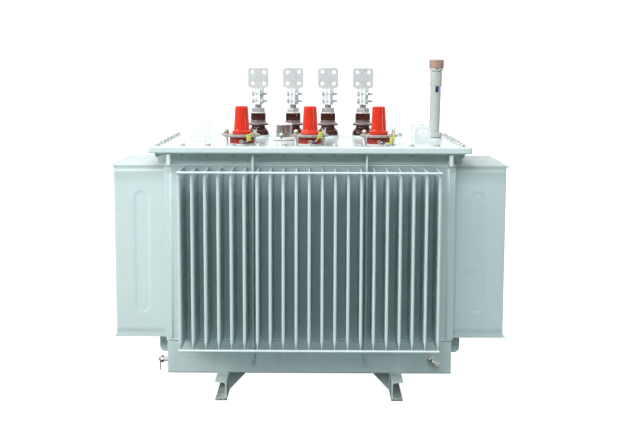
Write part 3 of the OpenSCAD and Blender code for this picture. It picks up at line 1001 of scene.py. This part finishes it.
def make_hv():
    bodies, rings, studs, leads = Build(), Build(), Build(), Build()
    for k, x in enumerate(HV_X):
        at = move(x, HV_Y, COVER_Z)
        bodies.add(
            lathe(
                rounded(
                    [
                        (0, 3.8, 0),
                        (47.6, 3.8, 0.5),
                        (47.6, 26, 1.6),
                        (46.2, 30.6, 0.4),
                        (36.0, 30.6, 0.4),
                        (36.0, 43.0, 0.4),
                        (0, 43.0, 0),
                    ],
                    3,
                    False,
                ),
                64,
            ),
            at,
        )
        bodies.add(
            lathe(rounded([(0, 0, 0), (49.4, 0, 0), (49.2, 2.4, 1.4), (46.8, 4.6, 0.6), (0, 4.6, 0)], 3, False), 64), at, 1
        )
        rings.add(plate([circle(0, 0, 74.0, 96)], 31.2, 40.2, 1.6, 3), at)
        # dark discs in place of the rim's holes: painted shade
        for j in range(18):  # holes in the rim
            spot = at @ turn((6.8, 8.6, 5.2)[k] + 20 * j, "Z") @ move(0, -73.2, 35.8) @ turn(90, "X")
            rings.add(lathe([(0, 0), (1.9, 0), (1.9, 1.0), (0, 1.0)], 14), spot, 1)
        left, right = at @ move((-60.0, -57.0, -57.0)[k]), at @ move((53.0, 55.5, 59.6)[k])
        for here in (left, right):
            studs.add(lathe([(0, 0), (5.5, 0), (5.5, 32.0), (0, 32.0)], 20), here, 6)
            studs.add(washer(8.4, 1.6), here)
            studs.add(washer(10.2, 1.8), here @ move(z=40.1))
        # domed nut on the left stud
        nut = knurled(9.6, 9.4) if k == 0 else hex_head(17.5, 8.4, (0, 0.3, 0.1)[k])
        studs.add(nut, left @ move(z=41.8), 1)
        top = 50.0 if k else 51.0
        studs.add(
            lathe(
                [(0, top), (8.2, top), (8.0, top + 3), (6.6, top + 6.4), (4.0, top + 8.6), (0, top + 9.4)], 24
            ),
            left,
            4 if k else 1,
        )
        # wing nut over the lead's ring on the right stud
        size = (0.78, 0.92, 1.0)[k]
        studs.add(washer(8.6, 1.4), right @ move(z=44.2), 5)
        studs.add(lathe([(0, 45.4), (8.0, 45.4), (8.0, 47), (6.4, 53), (5.4, 54), (0, 54)], 24), right, 5)
        for half in (0, 180):
            studs.add(
                wing(),
                right @ turn((60, 63, 66)[k] + half, "Z") @ move(z=45.8) @ Matrix.Scale(size, 4) @ UPRIGHT,
                5,
            )
        studs.add(thread(4.6, 53.5, 57.0, 1.5, 14), right)
        # bond screw and ring on the front of the resin body
        front = at @ move(1.5, -48.4, 13.5) @ turn(90, "X")
        studs.add(plate([circle(0, 0, 7.4, 28), circle(0, 0, 3.6, 20)], 1.0, 3.2, 0.5, 1), front, 2)
        studs.add(
            lathe([(0, -3), (3.5, -3), (3.5, 3), (4.6, 3.1), (4.4, 4.6), (2.6, 5.6), (0, 5.8)], 20),
            front,
            3,
        )
        start = [Vector(p) for p in SLEEVES[k][:2]]
        studs.add(
            sweep([(5.5, -51.2, 13.4), (7.5, -52.4, 13.2), start[0], start[0].lerp(start[1], 0.6)], [2.0, 3.0, 3.2, 3.2], 14),
            at,
            2,
        )
        pts, yellow, green = striped_lead(LEADS[k], at)
        leads.add((pts, yellow), None, 0)
        leads.add((pts, green), None, 1)
        line = smooth_path(SLEEVES[k], 4)
        radii = [3.5 + 0.4 * math.sin(math.pi * i / (len(line) - 1)) for i in range(len(line))]
        leads.add(sweep(line, radii, 16), at, 2)
        # ring at the wing nut, and the crimp that holds the lead's end
        tail = LEADS[k][-3:-1]
        leads.add(plate([circle(0, 0, 9.4, 28), circle(0, 0, 5.2, 20)], 41.8, 44.2, 0.5, 1), right, 3)
        leads.add(
            sweep([Vector(p) for p in tail] + [Vector((right.translation - at.translation).x * Vector((1, 0, 0))) + Vector((0, -6.0, 43.0))], [2.9, 3.1, 3.0], 14), at, 3
        )
    bodies.object("hv_resin_bodies", [bushing_resin, cover_paint], "bushing_resin", ["hv_bases"])
    rings.object("hv_clamp_rings", [ring_aluminium, painted_hole_shade], "cast_aluminium", ["hv_flanges"], weighted=True)
    studs.object(
        "hv_studs_and_nuts",
        [plated_steel, nut_brass, tinned_copper, dull_steel, dome_plate, stud_plate, clamp_aluminium],
        "plated_steel",
        ["hv_clamp_studs"],
    )
    leads.object(
        "hv_bond_leads",
        [lead_yellow, lead_green, sleeve_blue, tinned_copper],
        "earth_lead",
        ["hv_earth_leads"],
        sharp=50,
    )
    for k, x in enumerate(HV_X):
        b = Build()
        b.add(lathe(cap_profile(CAP_FEET[k]), 72), move(x, HV_Y, COVER_Z))
        b.object(f"hv_dust_cap_{k + 1}", [cap_plastic], "cap_plastic", [f"hv_cap_{k + 1}"])


make_hv()


# ---------------------------------------------------------------- low-voltage bushings
def lv_profile():
    return rounded(
        [
            (0, 8.0, 0),
            (44.0, 8.0, 0.8),
            (45.2, 10.4, 1.2),
            (45.2, 19.0, 2.4),
            (44.0, 25.0, 1.8),
            (40.4, 31.4, 1.6),
            (35.6, 36.4, 1.6),
            (31.6, 40.6, 1.4),
            (29.5, 47.6, 1.6),
            (29.7, 51.0, 1.0),
            (44.2, 51.6, 0.8),
            (45.4, 55.2, 1.4),
            (44.2, 59.0, 1.0),
            (35.6, 63.0, 1.6),
            (31.6, 73.6, 0.8),
            (32.6, 75.6, 0.8),
            (32.6, 103.8, 1.1),
            (31.2, 105.0, 0.6),
            (0, 105.0, 0),
        ],
        4,
        False,
    )


def split_clamp():
    """Outline of the split clamp round a stud: a ring with two ears towards the front."""
    big, bore, tip = 24.0, 15.2, -42.0

    def arc(r, a0, a1, n):
        return [
            (r * math.cos(a0 + (a1 - a0) * i / n), r * math.sin(a0 + (a1 - a0) * i / n), 0)
            for i in range(n + 1)
        ]

    right_root, left_root = -math.acos(10.0 / big), math.pi + math.acos(16.0 / big)
    right_bore, left_bore = -math.acos(3.0 / bore), math.pi + math.acos(9.0 / bore)
    out = [(3.0, tip, 1.2), (10.0, tip, 2.4)]
    out += arc(big, right_root, left_root, 36)
    out += [(-16.0, tip, 2.4), (-9.0, tip, 1.2)]
    out += arc(bore, left_bore, right_bore, 30)
    return rounded(out, 3)


def make_lv():
    studs = Build()
    prof = lv_profile()
    clamp = split_clamp()
    pad = rounded(
        [
            (-24, 206, 0),
            (24, 206, 0),
            (24, 216, 5),
            (43.5, 216, 10),
            (43.5, 301, 10),
            (-43.5, 301, 10),
            (-43.5, 216, 10),
            (-24, 216, 5),
        ],
        6,
    )
    holes = [circle(sx * 25.0, 259 + sz * 25.0, 8.5, 32) for sx in (-1, 1) for sz in (-1, 1)]
    for k, x in enumerate(LV_X):
        at = move(x, LV_Y, COVER_Z)
        b = Build()
        b.add(lathe(prof, 72), at)
        b.object(
            f"lv_insulator_{k + 1}", [brown_porcelain], "brown_porcelain", [f"lv_porcelain_{k + 1}"]
        )
        studs.add(washer(29.0, 3.6), at @ move(z=104.8), 3)
        studs.add(
            plate([hexagon(49.4, 1.0, math.radians((12, 30, 4, 44)[k]), 3)], 108.0, 127.0, 1.8, 3), at, 2
        )
        studs.add(thread(15.0, 126.8, 197.0, 3.5, 28), at, 1)
        b = Build()
        b.add(plate([clamp], 142.0, 210.0, 1.4, 2), at, 2)
        for x0, x1 in ((-9.6, -3.3), (-2.7, 3.6)):
            b.add(plate([rect(x0, -37.6, x1, -13.6, 0.4, 1)], 143.0, 209.0, 0.4, 1), at, 2)
        b.add(lathe([(0, 196.6), (15.6, 196.6), (15.6, 208.6), (0, 208.6)], 30), at, 2)
        b.add(plate([pad, *holes], -7.0, 7.0, 1.0, 2), at @ UPRIGHT)
        for z in (189.0, 158.0):
            side = at @ move(-3.0, -33.0, z) @ turn(90, "Y")
            b.add(lathe([(0, -14), (5.9, -14), (5.9, 14), (0, 14)], 18), side, 1)
            b.add(washer(10.6, 2.0), side @ move(z=-15.0), 1)
            b.add(hex_head(18.6, 7.6, rng.uniform(0, 1)), side @ move(z=-22.4), 1)
            b.add(washer(10.6, 2.0), side @ move(z=13.0), 1)
            b.add(hex_head(18.6, 9.4, rng.uniform(0, 1)), side @ move(z=15.0), 1)
            b.add(thread(5.6, 24.0, 44.0), side, 1)
        b.object(
            f"lv_clamp_{k + 1}",
            [terminal_aluminium, clamp_bolt, clamp_aluminium],
            "terminal_aluminium",
            [f"lv_terminal_{k + 1}"],
            weighted=True,
        )
    studs.object(
        "lv_stud_set",
        [plated_steel, stud_copper, big_nut, clamp_aluminium],
        "plated_steel",
        ["lv_studs"],
    )


make_lv()


# ---------------------------------------------------------------- relief valve and oil gauge
def make_relief_valve():
    at = move(-111.0, 0.0, COVER_Z)
    b = Build()
    b.add(
        lathe(
            rounded(
                [
                    (0, 12, 0),
                    (33.6, 12, 0),
                    (33.6, 66.0, 0.4),
                    (0, 66.0, 0),
                ],
                5,
                False,
            ),
            72,
        ),
        at,
    )
    b.add(
        lathe(
            rounded(
                [
                    (0, 64.4, 0), (34.0, 64.4, 0.8), (34.0, 68.6, 2.4), (31.2, 72.0, 1.4), (22.0, 72.0, 1.5),
                    (20.5, 70.6, 1.0), (0, 70.2, 0),
                ],
                5,
                False,
            ),
            72,
        ),
        at,
        2,
    )
    b.add(
        lathe(
            rounded(
                [(0, 0, 0), (41, 0, 0.8), (41, 8.4, 1.6), (38.4, 11.6, 1.4), (35.4, 14.0, 0.8), (0, 14.0, 0)],
                4,
                False,
            ),
            72,
        ),
        at,
        2,
    )
    pin = at @ move(-11.5, -37.5, 10.0)
    b.add(lathe([(0, 0), (3.4, 0), (3.4, 14), (0, 14)], 20), pin, 3)
    b.add(lathe([(0, 13), (6.0, 13), (6.8, 14.4), (7.0, 18), (5.2, 21), (2.4, 22.2), (0, 22.4)], 20), pin, 4)
    b.add(lathe(rounded([(0, 0, 0), (41.6, 0, 0.4), (41.6, 2.4, 0.4), (0, 2.4, 0)], 2, False), 64), at, 5)
    b.object(
        "relief_valve_body",
        [bright_metal, plated_steel, valve_base, dull_steel, clamp_aluminium, joint_grey],
        "bright_metal",
        ["pressure_relief_valve"],
    )


def make_gauge():
    foot = move(GAUGE_X, GAUGE_Y, COVER_Z)
    at = foot @ move(z=160.0) @ turn(1.2, "Y") @ move(z=-160.0)  # it leans a little in the photo
    b = Build()
    b.add(lathe(rounded([(0, 0, 0), (31, 0, 0.6), (31, 8.6, 0.8), (0, 8.6, 0)], 4, False), 56), foot, 5)
    b.add(lathe([(0, 8.4), (28.2, 8.4), (28.2, 13.0), (0, 13.0)], 56), foot, 6)
    b.add(
        lathe(
            rounded([(0, 12.6, 0), (31, 12.6, 0.8), (31, 30.4, 1.4), (28.6, 32.6, 0.8), (0, 33.0, 0)], 4, False), 56
        ),
        foot,
    )
    prof = rounded(
        [
            (0, 24, 0),
            (22, 24, 0.8),
            (22, 226.8, 0.8),
            (24.5, 231, 1.0),
            (24.5, 287.6, 0.6),
            (21.6, 288.2, 0.3),
            (21.6, 291.6, 0.3),
            (28, 292.4, 1.0),
            (28, 304, 0.4),
            (0, 304, 0),
        ],
        4,
        False,
    )
    b.add(lathe(prof, 56), at)
    b.add(shell_patch(21.0, 22.7, -11, 66, 200.0, 229.0, 14), at)
    b.add(shell_patch(21.4, 23.2, -8, 15, 202.3, 227.0, 6), at, 1)
    b.add(shell_patch(21.4, 23.2, 15, 40, 202.3, 227.0, 6), at, 2)
    b.add(shell_patch(21.4, 23.2, 40, 62, 202.3, 227.0, 6), at, 3)
    # a dark patch at the front of the top ring in place of the notch under the cap: painted shade
    b.add(shell_patch(26.6, 28.25, -10, 4, 299.0, 304.0, 4), at, 4)
    b.object(
        "gauge_pipe_assembly",
        [gauge_enamel, window_navy, window_blue, window_white, painted_hole_shade, cover_paint, joint_grey],
        "tank_paint",
        ["oil_gauge_pipe"],
    )
    b = Build()
    outline = []
    n = 72
    for k in range(n):
        a = 2 * math.pi * k / n
        r = 30.3 + 0.25 * math.cos(24 * a)
        outline.append((r * math.cos(a), r * math.sin(a)))
    b.add(plate([outline], 304.0, 339.0, 4.6, 5), at)
    b.object("gauge_screw_cap", [tan_plastic], "tan_plastic", ["oil_gauge_cap"], weighted=True)


make_relief_valve()
make_gauge()


# ---------------------------------------------------------------- valves on the tank
def stub(r, length):
    """A short pipe welded to the tank, drawn along z."""
    return lathe(
        rounded(
            [(0, -1, 0), (r + 4, -1, 0), (r + 2, 3.5, 1.5), (r, 6, 1.5), (r, length, 0.8), (0, length, 0)],
            3,
            False,
        ),
        32,
    )


def make_valves():
    b = Build()
    b.add(stub(7.6, 30.0), move(495.0, -TANK_Y, 140.0) @ turn(90, "X"), 1)
    at = move(494.0, -TANK_Y - 34.0, 141.0) @ turn(-24, "Z") @ turn(121, "Y")
    b.add(hex_head(23.2, 11.0, 0.2), at @ move(z=-17.0))
    b.add(lathe([(0, -18.2), (6.5, -18.2), (7.4, -17), (0, -17)], 20), at)
    b.add(thread(7.2, -7.0, 1.0, 1.6, 24), at, 2)
    b.add(
        lathe(
            rounded(
                [
                    (0, 0, 0), (12, 0, 1.2), (12, 7, 0.4), (11.2, 7.8, 0.3), (11.2, 9.6, 0.3),
                    (12, 10.4, 0.4), (12, 17.4, 0.6), (0, 17.4, 0),
                ],
                3,
                False,
            ),
            36,
        ),
        at,
    )
    b.add(knurled(13.4, 15.6, 22, 0.7), at @ move(z=17.2))
    b.add(lathe([(0, 32), (8.6, 32), (7.8, 33), (0, 33)], 24), at)
    b.object("drain_cock", [valve_brass, tank_paint, dull_steel], "valve_brass", ["drain_valve"])
    b = Build()
    at = move(-TANK_X, -225.0, 116.0) @ turn(-90, "Y")
    b.add(stub(10.5, 30.0), at, 1)
    b.add(hex_head(26.0, 12.0, 0.5), at @ move(z=27.0), 2)
    b.add(lathe([(0, 38.8), (9.5, 38.8), (7.5, 43), (7.0, 47), (0, 47)], 24), at, 2)
    spout = move(-TANK_X - 41.0, -225.0, 0)
    b.add(
        sweep([(0, 0, 106), (0, 0, 100), (0, 0, 86), (0, 0, 70)], [3.0, 2.4, 2.4, 2.2], 14), spout, 3
    )
    b.object(
        "sampling_cock",
        [valve_brass, tank_paint, cock_nut, spout_brass],
        "valve_brass",
        ["sampling_valve"],
    )


make_valves()


# ---------------------------------------------------------------- weld beads
def make_welds():
    b = Build()
    x, y = TANK_X, TANK_Y
    for z, r, e in ((SEAM_Z + 5.2, 3.8, 0.6), (LEDGE_Z - 4.2, 2.8, 1.0)):
        ex, ey = x + e, y + e
        b.add(bead([(-ex, -ey, z), (ex, -ey, z), (ex, ey, z), (-ex, ey, z), (-ex, -ey, z)], r, 6.0, 5))
    for sx in (-1, 1):
        for sy in (-1, 1):
            fillet = [(556.5, 310.5), (556.5, 315.2), (554.6, 315.6), (551.4, 313.7), (545.5, 310.8)]
            b.add(plate([[(sx * u, sy * v) for u, v in fillet]], 222.0, 916.0, 0.15, 1))
            for e in (-8.0, 8.0):
                b.add(bead([(sx * 555.0 + e, sy * y, 932), (sx * 555.0 + e, sy * y, 972)], 2.4, 5.0, 5))
                b.add(bead([(sx * 225.0 + e * 0.6, sy * y, 139), (sx * 225.0 + e * 0.6, sy * y, 972)], 1.8, 7.0, 5))
                b.add(bead([(sx * x, sy * 175.0 + e * 0.6, 139), (sx * x, sy * 175.0 + e * 0.6, 972)], 1.8, 7.0, 5))
            b.add(bead([(sx * 327.0, sy * 311.0, 80.0), (sx * 373.0, sy * 311.0, 80.0)], 2.8, 5.0, 5))
            for e in (-4.8, 4.8):
                b.add(bead([(sx * 263.0, sy * 300.0 + e, 79.0), (sx * 326.0, sy * 300.0 + e, 79.0)], 2.4, 5.0, 5))
                b.add(bead([(sx * 326.6, sy * 300.0 + e, 78.0), (sx * 326.6, sy * 300.0 + e, 10.0)], 2.4, 5.0, 5))
    for cx, cy, r in ((GAUGE_X, GAUGE_Y, 31.4), *((lx, LV_Y, 48.2) for lx in LV_X)):
        ring = [
            (cx + r * math.cos(2 * math.pi * k / 30), cy + r * math.sin(2 * math.pi * k / 30), COVER_Z + 0.4)
            for k in range(31)
        ]
        b.add(bead(ring, 1.8, 5.0, 5))
    # the beads take the lighter cover enamel; along the tank seams its lighter tone is a painted highlight
    b.object("weld_beads", [cover_paint], "tank_paint", sharp=70)


make_welds()


# ---------------------------------------------------------------- finish of the CAD nodes
def dress(node, mat, width, seg=3):
    """Paint on a CAD node, with its sharp edges eased as folded or sawn plate's are."""
    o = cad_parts[node]
    o.data.materials.clear()
    o.data.materials.append(mat)
    w = o.modifiers.new("weld", "WELD")
    w.merge_threshold = 0.00002
    d = o.modifiers.new("planes", "DECIMATE")
    d.decimate_type = "DISSOLVE"
    d.angle_limit = math.radians(1.0)
    v = o.modifiers.new("edges", "BEVEL")
    v.width = width / 1000
    v.segments = seg
    v.limit_method = "ANGLE"
    v.angle_limit = math.radians(40)
    v.harden_normals = True
    v.use_clamp_overlap = True


for node_name, material, width in (
    ("tank_floor", tank_paint, 1.5),
    ("tank_base", skirt_edge_shaded_paint, 4.5),
    ("tank_wall", wall_gap_shade, 2.5),
    ("tank_rim", tank_paint, 2.0),
    ("tank_flange", tank_paint, 1.5),
    ("long_side_ribs", tank_paint, 1.2),
    ("end_ribs", tank_paint, 1.2),
    ("corner_strips", tank_paint, 1.4),
    # the hooks take the lighter enamel: painted light
    ("tank_hooks", lit_enamel, 1.8),
    ("left_channel", skid_paint, 1.4),
    ("right_channel", skid_paint, 1.4),
    ("gussets", gusset_shaded_paint, 1.0),
    ("lv_bosses", cover_paint, 1.2),
):
    dress(node_name, material, width)


# ---------------------------------------------------------------- floor and light
def make_floor():
    mesh = bpy.data.meshes.new("floor")
    s = 40.0
    mesh.from_pydata([(-s, -s, 0), (s, -s, 0), (s, s, 0), (-s, s, 0)], [], [(0, 1, 2, 3)])
    o = bpy.data.objects.new("floor", mesh)
    scene.collection.objects.link(o)
    f = Finish("floor_paper", Roughness=0.9)
    f.bsdf.inputs["Specular IOR Level"].default_value = 0.2
    f.colour(
        f.ramp(f.noise(0.6, 2, 0.5), [(0.3, (0.19, 0.25, 0.255, 1)), (0.7, (0.21, 0.27, 0.275, 1))])
    )
    # the sweep is lit on its own, so it reads white while little of it is thrown back
    ray = f.nt.nodes.new("ShaderNodeLightPath")
    f.bsdf.inputs["Emission Color"].default_value = (1, 1, 1, 1)
    f.link(f.span(ray.outputs["Is Camera Ray"], 0.0, 1.0, 0.0, 1.0), f.bsdf.inputs["Emission Strength"])
    mesh.materials.append(f.mat)


def make_world():
    world = bpy.data.worlds.new("studio")
    scene.world = world
    world.use_nodes = True
    nt = world.node_tree
    nt.nodes.clear()
    out = nt.nodes.new("ShaderNodeOutputWorld")
    back = nt.nodes.new("ShaderNodeBackground")
    back.inputs["Color"].default_value = (1, 1, 1, 1)
    nt.links.new(back.outputs[0], out.inputs[0])
    coord = nt.nodes.new("ShaderNodeTexCoord")
    sep = nt.nodes.new("ShaderNodeSeparateXYZ")
    nt.links.new(coord.outputs["Generated"], sep.inputs[0])

    def span(axis, lo, hi, a=-1.0, b=1.0):
        n = nt.nodes.new("ShaderNodeMapRange")
        n.interpolation_type = "SMOOTHSTEP"
        n.inputs["From Min"].default_value = a
        n.inputs["From Max"].default_value = b
        n.inputs["To Min"].default_value = lo
        n.inputs["To Max"].default_value = hi
        nt.links.new(sep.outputs[axis], n.inputs["Value"])
        return n.outputs[0]

    def maths(op, a, b):
        n = nt.nodes.new("ShaderNodeMath")
        n.operation = op
        for v, s in ((a, n.inputs[0]), (b, n.inputs[1])):
            if isinstance(v, float):
                s.default_value = v
            else:
                nt.links.new(v, s)
        return n.outputs[0]

    side = span("X", 0.08, 0.0)
    depth = span("Y", 0.0, 0.96, -0.2, 0.75)
    top = span("Z", 0.0, 1.28, 0.2, 1.0)
    level = maths("ADD", maths("ADD", side, depth), top)
    ray = nt.nodes.new("ShaderNodeLightPath")
    pick = nt.nodes.new("ShaderNodeMix")
    nt.links.new(ray.outputs["Is Camera Ray"], pick.inputs[0])
    nt.links.new(level, pick.inputs[2])
    pick.inputs[3].default_value = 1.05
    nt.links.new(pick.outputs[0], back.inputs["Strength"])


def area(name, at, aim, w, h, power, tint=(1, 1, 1)):
    data = bpy.data.lights.new(name, "AREA")
    data.shape = "RECTANGLE"
    data.size, data.size_y = w, h
    data.energy = power
    data.color = tint
    o = bpy.data.objects.new(name, data)
    scene.collection.objects.link(o)
    o.location = at
    o.rotation_mode = "QUATERNION"
    o.rotation_quaternion = (Vector(aim) - Vector(at)).to_track_quat("-Z", "Y")
    return o


def make_light():
    scene.view_settings.view_transform = "Standard"
    scene.view_settings.look = "None"
    scene.view_settings.exposure = 0.0
    scene.view_settings.gamma = 1.0
    area("key", (-3.4, -3.4, 3.2), (-0.1, -0.2, 0.6), 2.2, 2.2, 53.0, (1.0, 0.94, 0.93))
    area("left", (-4.3, -1.7, 2.6), (-0.1, -0.2, 0.6), 2.0, 2.0, 82.0, (1.0, 0.925, 0.905))
    area("bank_left", (-1.5, -4.3, 3.4), (-0.1, -0.3, 0.7), 2.4, 0.9, 63.0, (0.92, 0.97, 1.0))
    area("bank_mid", (0.0, -4.3, 3.4), (0.0, -0.3, 0.7), 1.2, 0.9, 43.0, (0.78, 0.92, 1.0))
    area("bank_right", (1.5, -4.3, 3.4), (0.1, -0.3, 0.7), 2.4, 0.9, 15.0, (0.94, 0.98, 1.0))
    area("strip", (3.6, -2.2, 1.5), (0.1, -0.2, 1.05), 0.36, 0.9, 11.0)


make_floor()
make_world()
make_light()
